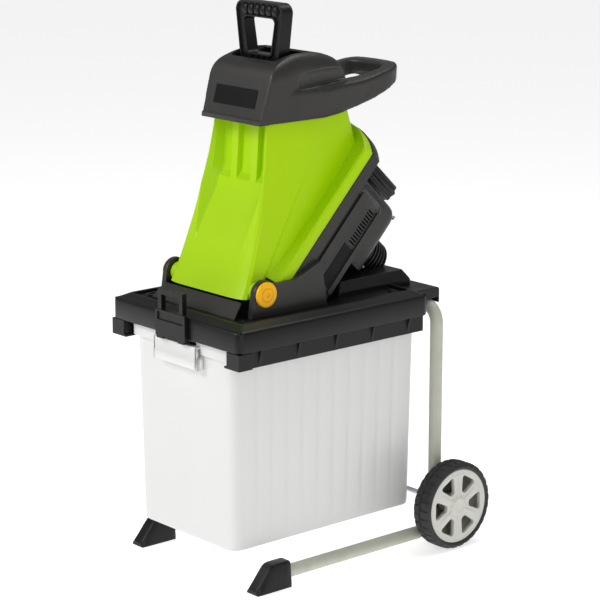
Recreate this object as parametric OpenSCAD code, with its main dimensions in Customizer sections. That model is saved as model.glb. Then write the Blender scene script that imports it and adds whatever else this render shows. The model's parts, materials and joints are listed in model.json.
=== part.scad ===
// Electric garden shredder: a tilting feed hopper over a motor and cutting disc,
// on a base cover that carries a slide-out collection bin and a wheeled tube frame.
// Millimetres. +Z is up, -Y is the front, +X is the right-hand side seen from the front.

/* [Wheels and frame] */
// Radius of each wheel over the tread
wheel_r = 82.5; // [78:0.5:86]
// Width of each tyre
wheel_w = 42; // [36:1:46]
// Outer radius of the frame tube
tube_r = 12; // [11:0.5:13]
// Half the distance between the two frame tubes
track_half = 167; // [165:1:170]
// Distance of the axle behind the centre of the base cover
axle_y = 258; // [256:1:264]

/* [Base cover and bin] */
// Half width of the base cover
cover_hw = 182; // [181:1:184]
// Half length of the base cover
cover_hl = 224; // [223:1:226]
// Height of the base cover's raised rim
cover_top = 491; // [489:1:492]
// Height of the bin's floor above the ground
bin_floor = 70; // [50:1:100]
// Wall thickness of the bin
bin_wall = 2.5; // [2:0.5:4]

/* [Hopper and hood] */
// Angle of the joint between hopper and motor housing
seam_angle = 46.5; // [46:0.5:47]
// Half width of the joint flange
flange_hw = 118; // [116:0.5:118]
// Wall thickness of the hopper
hopper_wall = 3; // [2.5:0.5:4]
// Height of the plunger's top
plunger_top = 1019; // [1000:1:1030]

/* [Motor and cutter] */
// Radius of the cutting disc
disc_r = 95; // [80:1:100]
// Distance of the motor's axis up the joint plane
motor_u = 165; // [160:1:170]
// Radius of the motor shaft
shaft_r = 6; // [5:0.5:7]

/* [Hidden] */
$fn = 64;

// Colours
green = "#A4D200";
charcoal = "#3B3938";
black = "#262626";
amber = "#FFB000";
milky = "#EEEEEC";
tube_grey = "#B9BAAA";
rim_grey = "#CBCBC3";
steel = "#A8AAAC";
copper = "#B86B3C";

// Fits
run = 0.05;      // radial clearance of a running fit
gap = 0.4;       // clearance between pieces that slide or stand side by side

// Front face of the latch, measured ahead of the cover's centre
latch_front = 232;
// The origin is on the ground under the middle of the whole machine
cover_y = -(axle_y + wheel_r - latch_front) / 2;

// Tube frame
tube_wall = 1.5;
tube_z = 24;
low_bend = 45;
top_bend = 32;
bar_z = 452;
tube_front = -150;

// Base cover
skirt_z = 444;
skin = 4;
bevel_h = 10;
bevel_w = 22;
tongue_hw = 155;
tongue_end = 276;
tongue_z = 454;
tongue_top = 484;
deck_z = 486;    // recessed deck inside the rim, where the housing stands

// Rails and bin
rail_z = 414.5;
rail_end = 215;
ledge_in = 141;
rail_in = 147;
rail_out = 176;
ledge_t = 4;
rim_z = 419;
rim_top = 442;
rim_hw = 146;

// Joint plane between hopper and housing: its lower end
seam_y = -49.6;
seam_z = 541.9;
band_h = 20;
band_hw = 120;
band_top = 330;
band_r = 160;

// Hopper pivot
pivot_y = -121.6;
pivot_z = 526;
pivot_r = 8;
cheek_in = 118.5;
cheek_out = 130;
cheek_r = 25;

// Lower motor housing
body_hw = 112;
body_top = 235;
body_depth = 98;
cowl_hw = 76;
cowl_low = 118;
cowl_top = 262;
cowl_depth = 168;
cap_r = 52;
cap_depth = 225;

// Motor bearings
bearing_r = 14;
bearing_h = 12;
bearing_low = -199;
plinth_z = 511.5;

// Lock
lock_u = 300;
lock_r = 21;

// Places a child from the cover's centre into the machine's frame
module seat() { translate([0, cover_y, 0]) children(); }

// Places a child on the joint plane: local Y runs up the joint, local Z is its normal
module seam() { seat() translate([0, seam_y, seam_z]) rotate([seam_angle, 0, 0]) children(); }

// Places a child on the motor's axis
module motor() { seam() translate([0, motor_u, 0]) children(); }

// Places a child on the lock screw's axis
module lock() { seam() translate([0, lock_u, 0]) children(); }

// Repeats a child on the left and right
module both() { children(); mirror([1, 0, 0]) children(); }

// A cylinder along X from x0 to x1
module rod_x(x0, x1, r) { translate([x0, 0, 0]) rotate([0, 90, 0]) cylinder(h = x1 - x0, r = r); }

// A ring about Z from z0 to z1
module ring(z0, z1, r_out, r_in) {
    translate([0, 0, z0]) difference() {
        cylinder(h = z1 - z0, r = r_out);
        translate([0, 0, -1]) cylinder(h = z1 - z0 + 2, r = r_in);
    }
}

// A box given by its two corners
module box(low, high) { translate(low) cube(high - low); }

// A flat rectangle with rounded corners, centred on X, from y0 to y1
module plan(hw, y0, y1, r) {
    hull() for (x = [-hw + r, hw - r], y = [y0 + r, y1 - r]) translate([x, y]) circle(r = r, $fn = 32);
}

// Outline of the joint flange: straight sides closed by one large arc
module arch(hw, low, top, r) {
    translate([-hw, low]) square([2 * hw, top - r - low]);
    intersection() {
        translate([-hw, top - r - 0.01]) square([2 * hw, r + 0.01]);
        translate([0, top - r]) circle(r = r);
    }
}

// Outline of the lower housing or cowl: a rectangle with two rounded upper corners
module shoulder(hw, low, top, r) {
    translate([-hw, low]) square([2 * hw, top - r - low]);
    translate([-hw + r, top - r - 0.01]) square([2 * (hw - r), r + 0.01]);
    for (s = [-1, 1]) translate([s * (hw - r), top - r]) circle(r = r);
}

// Everything above the base cover
module above(z) { seat() box([-300, -400, z], [300, 500, 1200]); }

// ---- Frame ----

// Solid run of one side's tube at a given radius
module tube_run(r) {
    up_y = axle_y;
    translate([track_half, tube_front, tube_z]) rotate([-90, 0, 0])
        cylinder(h = up_y - low_bend - tube_front, r = r);
    translate([track_half, up_y - low_bend, tube_z + low_bend]) rotate([0, 90, 0])
        rotate_extrude(angle = 90) translate([low_bend, 0]) circle(r = r);
    translate([track_half, up_y, tube_z + low_bend])
        cylinder(h = bar_z - top_bend - tube_z - low_bend, r = r);
    translate([track_half - top_bend, up_y, bar_z - top_bend]) rotate([90, 0, 0])
        rotate_extrude(angle = 90) translate([top_bend, 0]) circle(r = r);
    translate([0, up_y, bar_z]) rod_x(0.1, track_half - top_bend, r);
}

module half_frame() {
    seat() difference() {
        tube_run(tube_r);
        tube_run(tube_r - tube_wall);
        translate([track_half, tube_front - 1, tube_z]) rotate([-90, 0, 0])
            cylinder(h = 3, r = tube_r - tube_wall);
        translate([0, axle_y, bar_z]) rod_x(-1, 2, tube_r - tube_wall);
        translate([0, axle_y, wheel_r]) rod_x(track_half - 20, track_half + 20, 5 + run);
    }
}

module frame_tube_right() { color(tube_grey) half_frame(); }
module frame_tube_left() { color(tube_grey) mirror([1, 0, 0]) half_frame(); }

clamp_x = [-90, 0, 90];
bolt_back = 15.7;

// Saddles that hold the cross tube up inside the cover's rear tongue
module tube_clamps() {
    color(charcoal) seat() for (x = clamp_x) translate([x, axle_y, bar_z]) difference() {
        box([-11, -20, -15], [11, 12.5, tongue_top - skin - bar_z - 0.1]);
        rod_x(-12, 12, tube_r + run);
        translate([0, -bolt_back, -16]) cylinder(h = 60, r = 2.6);
    }
}

module clamp_bolts() {
    color(steel) seat() for (x = clamp_x) translate([x, axle_y - bolt_back, bar_z - 15]) {
        cylinder(h = 40, r = 2.5);
        translate([0, 0, -3.2]) cylinder(h = 3.2, r = 4.5);
    }
}

foot_x = 168;
foot_front = -186;
foot_back = -108;

// Skid under the front end of one frame tube
module foot() {
    seat() difference() {
        hull() {
            box([foot_x - 17, foot_front + 4, 0], [foot_x + 17, foot_back, 3]);
            box([foot_x - 15, foot_front, 4], [foot_x + 15, foot_back, 12]);
            translate([foot_x - 7, foot_front + 34, 41]) rotate([-90, 0, 0])
                cylinder(h = foot_back - foot_front - 34, r = 8, $fn = 32);
            translate([foot_x + 7, foot_front + 34, 41]) rotate([-90, 0, 0])
                cylinder(h = foot_back - foot_front - 34, r = 8, $fn = 32);
            translate([foot_x, foot_front + 12, 30]) sphere(r = 7, $fn = 32);
        }
        translate([track_half, tube_front, tube_z]) rotate([-90, 0, 0]) cylinder(h = 60, r = tube_r + run);
    }
}

module foot_right() { color(black) foot(); }
module foot_left() { color(black) mirror([1, 0, 0]) foot(); }

// ---- Wheels ----

wheel_out = 234.5;
wheel_in = wheel_out - wheel_w;
hub_r = 17;
axle_r = 5;
axle_half = 228;
rim_r = 70;
spokes = 6;

module axle() { color(steel) seat() translate([0, axle_y, wheel_r]) rod_x(-axle_half, axle_half, axle_r); }

module wheel_washers() {
    color(steel) both() seat() translate([0, axle_y, wheel_r]) rotate([0, 90, 0])
        ring(track_half + tube_r + 0.3, wheel_in - 0.3, 9, axle_r + run);
}

module axle_clips() {
    color(steel) both() seat() translate([0, axle_y, wheel_r]) rotate([0, 90, 0])
        ring(wheel_out - 9.7, wheel_out - 8, 9, axle_r + run);
}

// One wheel centre: barrel, web with windows, hub
module rim() {
    seat() translate([0, axle_y, wheel_r]) rotate([0, 90, 0]) difference() {
        union() {
            ring(wheel_in + 3, wheel_out - 3, rim_r, rim_r - 5);
            ring(wheel_out - 22, wheel_out - 12, rim_r - 4, 10);
            ring(wheel_in, wheel_out - 4, hub_r, axle_r);
        }
        translate([0, 0, wheel_in - 1]) cylinder(h = wheel_w, r = axle_r + run);
        translate([0, 0, wheel_out - 10]) cylinder(h = 10, r = 12);
        for (i = [0 : spokes - 1]) rotate(i * 360 / spokes) translate([0, 0, wheel_out - 23])
            linear_extrude(12) polygon([[26, -5], [59, -19], [62, 0], [59, 19], [26, 5]]);
    }
}

module rim_right() { color(rim_grey) rim(); }
module rim_left() { color(rim_grey) mirror([1, 0, 0]) rim(); }

module tyre() {
    half = wheel_w / 2;
    seat() translate([wheel_out - half, axle_y, wheel_r]) rotate([0, 90, 0]) rotate_extrude() polygon([
        [rim_r + run, -half + 2.5], [rim_r + 4, -half], [wheel_r - 4, -half], [wheel_r, -half + 6],
        [wheel_r, half - 6], [wheel_r - 4, half], [rim_r + 4, half], [rim_r + run, half - 2.5]]);
}

module tyre_right() { color(black) tyre(); }
module tyre_left() { color(black) mirror([1, 0, 0]) tyre(); }

module hub_cap() {
    seat() translate([0, axle_y, wheel_r]) rotate([0, 90, 0]) {
        ring(wheel_out - 7, wheel_out - 4, 12 - run, 10.5);
        translate([0, 0, wheel_out - 4]) cylinder(h = 4, r = hub_r + 1);
    }
}

module hub_cap_right() { color(rim_grey) hub_cap(); }
module hub_cap_left() { color(rim_grey) mirror([1, 0, 0]) hub_cap(); }

// ---- Base cover, rails, bin and latch ----

duct_hw = 62;
duct_y0 = -64;
duct_y1 = 36;
key_z = 449;
key_h = 8;
latch_travel = 18;
rail_screw_y = [-190, -60, 60, 190];
rail_screw_x = 161;

deck_hw = 154;
deck_hl = 196;

// Outer form of the cover: a skirt with a bevelled top edge
module cover_form() {
    hull() {
        translate([0, 0, skirt_z]) linear_extrude(cover_top - bevel_h - skirt_z)
            plan(cover_hw, -cover_hl, cover_hl, 14);
        translate([0, 0, skirt_z]) linear_extrude(cover_top - skirt_z)
            plan(cover_hw - bevel_w, -cover_hl + bevel_w, cover_hl - bevel_w, 12);
    }
}

// Raised foot under the motor's end cap
module plinth() {
    hull() {
        box([-105, 72, tongue_top - 1], [105, 252, deck_z + 8]);
        box([-92, 84, plinth_z - 2], [92, 242, plinth_z]);
    }
}

// Skirt, bevelled rim and recessed deck, before its holes
module cover_shell() {
    difference() {
        union() {
            cover_form();
            box([-tongue_hw, cover_hl - 20, tongue_z], [tongue_hw, tongue_end, tongue_top]);
        }
        box([-cover_hw + skin, -cover_hl + skin, skirt_z - 1],
            [cover_hw - skin, cover_hl - skin, cover_top - bevel_h - 2]);
        box([-deck_hw, -deck_hl, skirt_z], [deck_hw, deck_hl, deck_z - skin]);
        box([-deck_hw, -deck_hl, deck_z], [deck_hw, deck_hl, cover_top + 1]);
        box([-tongue_hw + skin, cover_hl - 30, tongue_z - 1],
            [tongue_hw - skin, tongue_end - skin, tongue_top - skin]);
    }
    for (s = [-1, 1], y = rail_screw_y)
        translate([s * rail_screw_x, y, skirt_z]) cylinder(h = cover_top - bevel_h - 1 - skirt_z, r = 5);
    plinth();
}

module base_cover() {
    color(black) seat() difference() {
        cover_shell();
        box([-tongue_hw - 1, axle_y - tube_r - 1, tongue_z - 1],
            [tongue_hw + 1, axle_y + tube_r + 1, bar_z + tube_r + 1]);
        box([-duct_hw - 0.1, duct_y0 - 0.1, deck_z - 20], [duct_hw + 0.1, duct_y1 + 0.1, deck_z + 1]);
        box([-8.5, -cover_hl - 1, key_z - 1], [8.5, -cover_hl + skin + 1, key_z + key_h + latch_travel + 1]);
        for (s = [-1, 1], y = rail_screw_y)
            translate([s * rail_screw_x, y, skirt_z - 1]) cylinder(h = 12, r = 1.6);
    }
}

// Rail that carries one side of the bin, with its front post
module bin_rail() {
    seat() difference() {
        union() {
            box([rail_in, -cover_hl, rail_z], [rail_out, rail_end, skirt_z - 0.1]);
            box([ledge_in, -cover_hl, rail_z], [rail_out, rail_end, rail_z + ledge_t]);
            box([rail_in, -cover_hl, rail_z], [cover_hw, -cover_hl + 30, skirt_z - 0.1]);
            for (i = [0 : 4]) translate([0, -173 + 87.5 * i, 0]) hull() {
                box([rail_out - 1, -2, rail_z + 4], [rail_out, 2, rail_z + 5]);
                box([rail_out - 1, -2, skirt_z - 1], [cover_hw - 1, 2, skirt_z - 0.1]);
            }
        }
        box([rail_in + skin, -cover_hl + skin, rail_z + ledge_t],
            [rail_out - skin, rail_end + 1, skirt_z - 4]);
        for (y = rail_screw_y) translate([rail_screw_x, y, rail_z - 1]) cylinder(h = 40, r = 1.6);
    }
}

module bin_rail_right() { color(black) bin_rail(); }
module bin_rail_left() { color(black) mirror([1, 0, 0]) bin_rail(); }

module rail_screws() {
    color(steel) both() seat() for (y = rail_screw_y) translate([rail_screw_x, y, rail_z]) {
        translate([0, 0, -2.2]) cylinder(h = 2.2, r = 3.6);
        translate([0, 0, -0.1]) cylinder(h = 34, r = 1.5);
    }
}

bin_hw = 139;
bin_front = -205;
bin_back = 234;
bin_draft = 5;
grip_hw = 60;

// Tapered block that forms the bin inside or outside, shrunk by a wall thickness
module bin_form(t, low, high) {
    hull() {
        translate([0, 0, low]) linear_extrude(1)
            plan(bin_hw - bin_draft - t, bin_front + bin_draft + t, bin_back - bin_draft - t, 14 - t);
        translate([0, 0, high - 1]) linear_extrude(1) plan(bin_hw - t, bin_front + t, bin_back - t, 14 - t);
    }
}

module collection_bin() {
    color(milky) seat() difference() {
        union() {
            bin_form(0, bin_floor, rim_top);
            box([-rim_hw, bin_front - 15, rim_z], [rim_hw, bin_back + 3, rim_top - 1]);
            box([-grip_hw, -cover_hl + 0.5, 395], [grip_hw, bin_front, 434]);
        }
        bin_form(bin_wall, bin_floor + bin_wall, rim_top + 2);
        box([-rim_hw + 3, bin_front - 12, rim_z - 0.1], [rim_hw - 3, bin_front - 0.1, rim_top - 4]);
        box([-48, bin_front - 16, 434], [48, bin_front + bin_wall + 1, rim_top + 1]);
        box([-grip_hw + 3, -cover_hl + 3.5, 394], [grip_hw - 3, bin_front - 0.1, 431]);
    }
}

module latch_slider() {
    color(black) seat() {
        difference() {
            box([-42, -latch_front, 440], [42, -cover_hl - 0.5, 488]);
            box([-36, -latch_front - 1, 470], [36, -latch_front + 2.5, 484]);
        }
        for (s = [-1, 1]) translate([s * 30, 0, 0]) box([-9, -latch_front, 436], [9, -cover_hl - 0.5, 441]);
        box([-8, -cover_hl - 1, key_z], [8, -cover_hl + skin + gap, key_z + key_h]);
        box([-14, -cover_hl + skin + gap, key_z - 3], [14, -cover_hl + skin + 3, key_z + key_h + 3]);
        difference() {
            box([-35, -latch_front + 1, 487], [35, -cover_hl + 3, 526.5]);
            box([-25, -latch_front, 488], [25, -cover_hl + 4, 516]);
        }
    }
}

// Sloping panel between the hopper's foot and the cover
module front_apron() {
    color(charcoal) seat() difference() {
        hull() {
            box([-117, -182, deck_z + 0.1], [117, -179, deck_z + 3]);
            box([-108, -160, 510], [108, -157.5, 513]);
        }
        hull() {
            box([-114, -179, deck_z - 1], [114, -170, deck_z + 1]);
            box([-105, -157, 509], [105, -150, 514]);
        }
    }
}

// Duct that drops the chips through the cover into the bin
module discharge_chute() {
    color(charcoal) seat() difference() {
        box([-duct_hw, duct_y0, 447], [duct_hw, duct_y1, deck_z + 1.5]);
        box([-duct_hw + 3, duct_y0 + 3, 446], [duct_hw - 3, duct_y1 - 3, deck_z + 3]);
    }
}

// ---- Motor housing ----

// Side cheek that carries one end of the hopper's pivot
module cheek() {
    seat() difference() {
        translate([cheek_in, 0, 0]) rotate([90, 0, 90]) linear_extrude(cheek_out - cheek_in) union() {
            translate([pivot_y, pivot_z]) circle(r = cheek_r);
            polygon([[pivot_y - cheek_r, pivot_z], [pivot_y - cheek_r - 6, deck_z + 0.2],
                [22, deck_z + 0.2], [8, seam_z + 26], [seam_y - 4, seam_z - 0.4],
                [pivot_y + 30, seam_z - 1], [pivot_y + 12, pivot_z + 20]]);
        }
        translate([0, pivot_y, pivot_z]) rod_x(cheek_in - 1, cheek_out + 1, pivot_r + run);
    }
}

module motor_housing() {
    color(charcoal) {
        intersection() {
            above(deck_z + 0.2);
            seam() difference() {
                union() {
                    translate([0, 0, -band_h]) linear_extrude(band_h) arch(band_hw, -20, band_top, band_r);
                    translate([0, 0, -body_depth]) linear_extrude(body_depth - band_h + 1)
                        shoulder(body_hw, -60, body_top, 35);
                }
                translate([0, 0, -band_h + 3]) linear_extrude(band_h)
                    arch(band_hw - 4, -80, band_top - 4, band_r - 4);
                translate([0, 0, -body_depth + 3]) linear_extrude(body_depth - band_h - 3)
                    shoulder(body_hw - 3, -80, body_top - 3, 32);
                translate([0, 0, -body_depth]) linear_extrude(band_h + body_depth)
                    translate([-body_hw + 3, -80]) square([2 * body_hw - 6, 130]);
                translate([-cowl_hw - 0.2, cowl_low - 0.2, -body_depth - 1])
                    cube([2 * cowl_hw + 0.4, 200, body_depth - band_h + 1]);
                translate([0, motor_u, -40]) cylinder(h = 60, r = 24);
                translate([0, lock_u, -40]) cylinder(h = 60, r = 4.5);
                translate([body_hw - 0.8, 36, -88]) cube([2, 88, 27]);
                for (i = [0 : 11]) translate([body_hw - 4, 130 + 6.2 * i, -84]) cube([6, 3, 16]);
                for (i = [0 : 11]) translate([-body_hw - 2, 20 + 6.2 * i, -84]) cube([6, 3, 16]);
            }
        }
        both() cheek();
        lock() ring(-61.5, -band_h + 1, 13, 4.5);
    }
}

cowl_screw_u = [134, 246];

module motor_cowl() {
    color(charcoal) seam() difference() {
        translate([0, 0, -cowl_depth]) linear_extrude(cowl_depth - band_h - 0.2)
            shoulder(cowl_hw, cowl_low, cowl_top, 30);
        translate([0, 0, -cowl_depth + 3]) linear_extrude(cowl_depth)
            shoulder(cowl_hw - 3, cowl_low + 3, cowl_top - 3, 27);
        translate([0, motor_u, -cowl_depth - 1]) cylinder(h = 10, r = 38);
        for (s = [-1, 1], u = cowl_screw_u)
            translate([s * (cowl_hw - 12), u, -cowl_depth - 1]) cylinder(h = 8, r = 2.1);
    }
}

module cowl_screws() {
    color(steel) seam() for (s = [-1, 1], u = cowl_screw_u)
        translate([s * (cowl_hw - 12), u, -cowl_depth]) {
            translate([0, 0, -2.4]) cylinder(h = 2.4, r = 3.8);
            translate([0, 0, -0.1]) cylinder(h = 12, r = 2);
        }
}

module motor_end_cap() {
    color(black) intersection() {
        above(plinth_z + 0.3);
        motor() union() {
            difference() {
                union() {
                    translate([0, 0, -cap_depth]) cylinder(h = cap_depth - cowl_depth - 0.2, r = 42);
                    for (i = [0 : 6]) translate([0, 0, -cap_depth + 8 * i]) cylinder(h = 4, r = cap_r);
                }
                translate([0, 0, -cap_depth + 3]) cylinder(h = cap_depth, r = 38);
            }
            ring(bearing_low - 1, bearing_low + bearing_h + 1, 38.2, bearing_r + 0.02);
        }
    }
}

module rating_label() {
    color("#1C1C1C") seam() translate([body_hw - 0.7, 38, -86]) cube([0.9, 84, 23]);
}

// Amber cap with the pivot pin behind it
module pivot_cap() {
    seat() translate([0, pivot_y, pivot_z]) difference() {
        union() {
            rod_x(cheek_out + 0.1, cheek_out + 5.5, 22.5);
            rod_x(cheek_out + 5, cheek_out + 7, 11);
            rod_x(102, cheek_out + 1, pivot_r);
        }
        rod_x(100, 150, 2.6);
    }
}

module pivot_cap_right() { color(amber) pivot_cap(); }
module pivot_cap_left() { color(amber) mirror([1, 0, 0]) pivot_cap(); }

module pivot_screws() {
    color(steel) both() seat() translate([0, pivot_y, pivot_z]) {
        rod_x(101, cheek_out + 4, 2.5);
        rod_x(97.5, 101.5, 4.5);
    }
}

// ---- Hopper, hood and plunger ----

neck_hw = 72;
neck_y0 = -71;
neck_y1 = 122;
neck_z = 826;

// Tapered body between the joint plane and the neck, shrunk by a wall thickness
module hopper_form(t, dip) {
    hull() {
        seat() box([-108 + t, -153 + t, 517 - dip], [108 - t, -149 + t, 520 - dip]);
        seam() translate([0, 0, 0.6 - dip]) linear_extrude(1)
            arch(110 - t, -14 + t, 306 - t, 150 - t);
        seat() translate([0, 0, neck_z - 1 + dip]) linear_extrude(1)
            plan(neck_hw - t, neck_y0 + t, neck_y1 - t, 16 - t);
    }
}

// Places a child at each of the four screws that hold the hood on the neck
module neck_screw_places() { both() seat() for (y = [-50, 90]) translate([0, y, neck_z - 6]) children(); }

module hopper_shell() {
    color(green) difference() {
        union() {
            hopper_form(0, 0);
            seam() translate([0, 0, 0.6]) linear_extrude(7) arch(flange_hw, 8, 328, 158);
            both() seat() translate([0, pivot_y, pivot_z]) rod_x(100, cheek_in - gap, 18);
        }
        hopper_form(hopper_wall, 3);
        both() seat() translate([0, pivot_y, pivot_z]) rod_x(96, cheek_in + 1, pivot_r + run);
        both() seat() translate([0, pivot_y, pivot_z]) rod_x(94, 101.9, 20);
        lock() cylinder(h = 30, r = 5.2);
        neck_screw_places() rod_x(neck_hw - 10, neck_hw + 8, 1.6);
    }
}

hood_z = 814;
hood_top = 926;
dome_y0 = -91.5;     // the front face leans back from here, at 6 above hood_z
slope_z = 890;
slope_y = -67.5;     // to here, at 6 above slope_z
slope_angle = atan2(slope_z - hood_z, slope_y - dome_y0);
mouth_hw = 58;
mouth_y0 = -42;
mouth_y1 = 36;
arm_tilt = 8.6;
arm_z = 843;

// Domed block of the hood, shrunk by a wall thickness
module dome(t) {
    hull() {
        translate([0, 0, hood_z - t]) linear_extrude(6) plan(82.5 - t, dome_y0 + t, 133 - t, 8 - t / 2);
        translate([0, 0, slope_z - t]) linear_extrude(6) plan(86 - t, slope_y + t, 122 - t, 10 - t / 2);
        translate([0, 0, 909 - t]) linear_extrude(4) plan(80 - t, -54 + t, 106 - t, 16 - t / 2);
        translate([0, 0, hood_top - 4 - t]) linear_extrude(4) plan(70 - t, -36 + t, 70 - t, 20 - t / 2);
    }
}

// Plan of the carrying handle: two arms joined by a bar behind the hood
module arm_plan() {
    difference() {
        polygon([[-86, -20], [86, -20], [86, 70], [83, 160], [76, 226], [64, 248], [48, 257], [24, 260],
            [-24, 260], [-48, 257], [-64, 248], [-76, 226], [-83, 160], [-86, 70]]);
        polygon([[-60, 60], [60, 60], [60, 160], [52, 212], [38, 228], [-38, 228], [-52, 212], [-60, 160]]);
    }
}

// Side view of the carrying handle, along Y and up Z: deep at the root and thin at the bar
module arm_side() {
    polygon([[-20, hood_z], [60, hood_z], [96, 818], [146, 827], [207, 843], [229, 853], [232, 861],
        [262, 866], [262, 891], [243, 889], [194, 879], [146, 870], [84, 867], [-20, 867]]);
}

module hood() {
    color(charcoal) seat() difference() {
        union() {
            dome(0);
            difference() {
                intersection() {
                    translate([0, 0, 800]) linear_extrude(110) arm_plan();
                    rotate([90, 0, 90]) translate([0, 0, -90]) linear_extrude(180) arm_side();
                }
                translate([0, 0, arm_z]) rotate([arm_tilt, 0, 0]) box([-38, 236, -30], [38, 252, -8]);
            }
        }
        dome(3);
        box([-mouth_hw - 4.2, mouth_y0 - 4.2, 880], [mouth_hw + 4.2, mouth_y1 + 4.2, 940]);
    }
    color(charcoal) neck_screw_places() difference() {
        rod_x(neck_hw + 4.8, neck_hw + 9, 4.5);
        rod_x(neck_hw, neck_hw + 8, 1.5 + run);
    }
}

module handle_grip() {
    color(black) seat() translate([0, 0, arm_z]) rotate([arm_tilt, 0, 0]) {
        box([-37.8, 236.2, -15], [37.8, 251.8, -8.1]);
        for (i = [0 : 11]) translate([-34 + 6 * i, 236.2, -17]) cube([3, 15.6, 3]);
    }
}

// Plate on the hood's leaning front face
module name_plate() {
    color("#111111") seat() translate([0, dome_y0, hood_z + 6]) rotate([slope_angle, 0, 0])
        translate([-57, 19.4, 0.1]) cube([114, 34, 1.2]);
}

// Screws from inside the neck into the hood's bosses
module hood_screws() {
    color(steel) neck_screw_places() {
        rod_x(neck_hw - 6, neck_hw - 3.3, 3.4);
        rod_x(neck_hw - 3.4, neck_hw + 7, 1.5);
    }
}

ledge_z = 908;

// Straight duct from the hood's mouth down into the hopper
module chute_liner() {
    color(black) seat() difference() {
        box([-mouth_hw - 4, mouth_y0 - 4, 730], [mouth_hw + 4, mouth_y1 + 4, 915]);
        box([-mouth_hw + 3, mouth_y0 + 3, 729], [mouth_hw - 3, mouth_y1 - 3, 940]);
        box([-mouth_hw, mouth_y0, ledge_z], [mouth_hw, mouth_y1, 940]);
    }
}

block_y0 = -36;
block_y1 = 30;
grip_y0 = -26;
grip_y1 = -1;

// Hollow block that pushes material down the duct
module plunger_block() {
    color(black) seat() difference() {
        box([-52, block_y0, 765], [52, block_y1, ledge_z + 0.2]);
        box([-49, block_y0 + 3, 768], [49, block_y1 - 3, ledge_z + 1]);
    }
}

module plunger_handle() {
    color(black) seat() {
        box([-mouth_hw + gap, mouth_y0 + gap, ledge_z + 0.3], [mouth_hw - gap, mouth_y1 - gap, ledge_z + 5]);
        difference() {
            hull() {
                box([-53, grip_y0, ledge_z + 1], [53, grip_y1, ledge_z + 4]);
                box([-63, grip_y0, plunger_top - 16], [63, grip_y1, plunger_top - 12]);
                box([-55, grip_y0 + 4, plunger_top - 3], [55, grip_y1 - 4, plunger_top]);
            }
            hull() {
                box([-32, grip_y0 - 1, ledge_z + 16], [32, grip_y1 + 1, ledge_z + 20]);
                box([-41, grip_y0 - 1, plunger_top - 27], [41, grip_y1 + 1, plunger_top - 25]);
            }
        }
    }
}

// ---- Motor and cutter, all about the motor's axis ----

module motor_plate() {
    color(steel) motor() {
        ring(-26, -band_h - 0.2, 43.5, 12);
        ring(-42, -25.9, 21, bearing_r + 0.02);
    }
}

module bearing_upper() { color(steel) motor() ring(-40, -40 + bearing_h, bearing_r, shaft_r + run); }
module bearing_lower() {
    color(steel) motor() ring(bearing_low, bearing_low + bearing_h, bearing_r, shaft_r + run);
}

module motor_stator() {
    color(copper) motor() ring(-140, -70, 43, 27);
}

module motor_shaft() {
    color(steel) motor() translate([0, 0, bearing_low + 1]) cylinder(h = 3 - bearing_low, r = shaft_r);
}

module armature() { color(copper) motor() ring(-140, -72, 25.5, shaft_r + 0.02); }
module commutator() { color(copper) motor() ring(-160, -144, 14, shaft_r + 0.02); }

module carbon_brushes() {
    color("#303030") both() motor() box([14.4, -4, -156], [26, 4, -148]);
}

fan_blades = 9;

module cooling_fan() {
    color(black) motor() {
        ring(-66, -62, 36, shaft_r + 0.02);
        for (i = [0 : fan_blades - 1]) rotate(i * 360 / fan_blades) box([12, -1, -62.1], [36, 1, -48]);
    }
}

module blade_disc() {
    color(steel) motor() difference() {
        ring(-13, -7, disc_r, shaft_r + 0.02);
        for (a = [0, 180]) rotate(a) {
            box([24, -12, -14], [88, -3, -6]);
            for (x = [40, 72]) translate([x, 8, -14]) cylinder(h = 8, r = 3.05);
        }
    }
}

module blades() {
    color("#C8CACC") motor() for (a = [0, 180]) rotate(a) difference() {
        box([24, -5, -6.9], [88, 18, -3]);
        for (x = [40, 72]) translate([x, 8, -8]) cylinder(h = 8, r = 3.05);
    }
}

module blade_screws() {
    color(black) motor() for (a = [0, 180], x = [40, 72]) rotate(a) translate([x, 8, 0]) {
        translate([0, 0, -12.5]) cylinder(h = 9.6, r = 3);
        translate([0, 0, -2.95]) cylinder(h = 2.4, r = 5);
    }
}

module disc_nut() {
    color(steel) motor() difference() {
        translate([0, 0, -6.9]) cylinder(h = 7, r = 11, $fn = 6);
        translate([0, 0, -8]) cylinder(h = 10, r = shaft_r + 0.02);
    }
}

// ---- Lock: a knob on a screw that holds the hopper's flange down ----

module lock_knob() {
    color(black) lock() difference() {
        union() {
            translate([0, 0, -178]) cylinder(h = 112, r = lock_r - 3);
            for (i = [0 : 7]) rotate(i * 45) translate([lock_r - 5, 0, -178]) cylinder(h = 112, r = 5);
        }
        translate([0, 0, -120]) cylinder(h = 60, r = 4.02);
    }
}

module lock_screw() { color(steel) lock() translate([0, 0, -119]) cylinder(h = 122, r = 4); }

module lock_washer() { color(steel) lock() ring(-65.5, -62, 12, 4 + run); }

// ---- Controls, on the left side ----

box_u0 = 118;
box_u1 = 206;
button_u = [140, 168, 192];

module switch_box() {
    color(black) seam() difference() {
        box([-body_hw - 24, box_u0, -90], [-body_hw - 0.2, box_u1, -44]);
        box([-body_hw - 21, box_u0 + 3, -87], [-body_hw, box_u1 - 3, -47]);
        translate([0, button_u[0], -67]) rod_x(-body_hw - 30, -body_hw - 15, 9.4);
        translate([0, button_u[1], -67]) rod_x(-body_hw - 30, -body_hw - 15, 9.4);
        translate([0, button_u[2], -67]) rod_x(-body_hw - 30, -body_hw - 15, 5.4);
    }
}

// Round push button that stands out of the switch box
module button(u, r) {
    seam() translate([0, u, -67]) {
        rod_x(-body_hw - 29, -body_hw - 16, r);
        rod_x(-body_hw - 17, -body_hw - 13, r + 1.5);
    }
}

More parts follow.
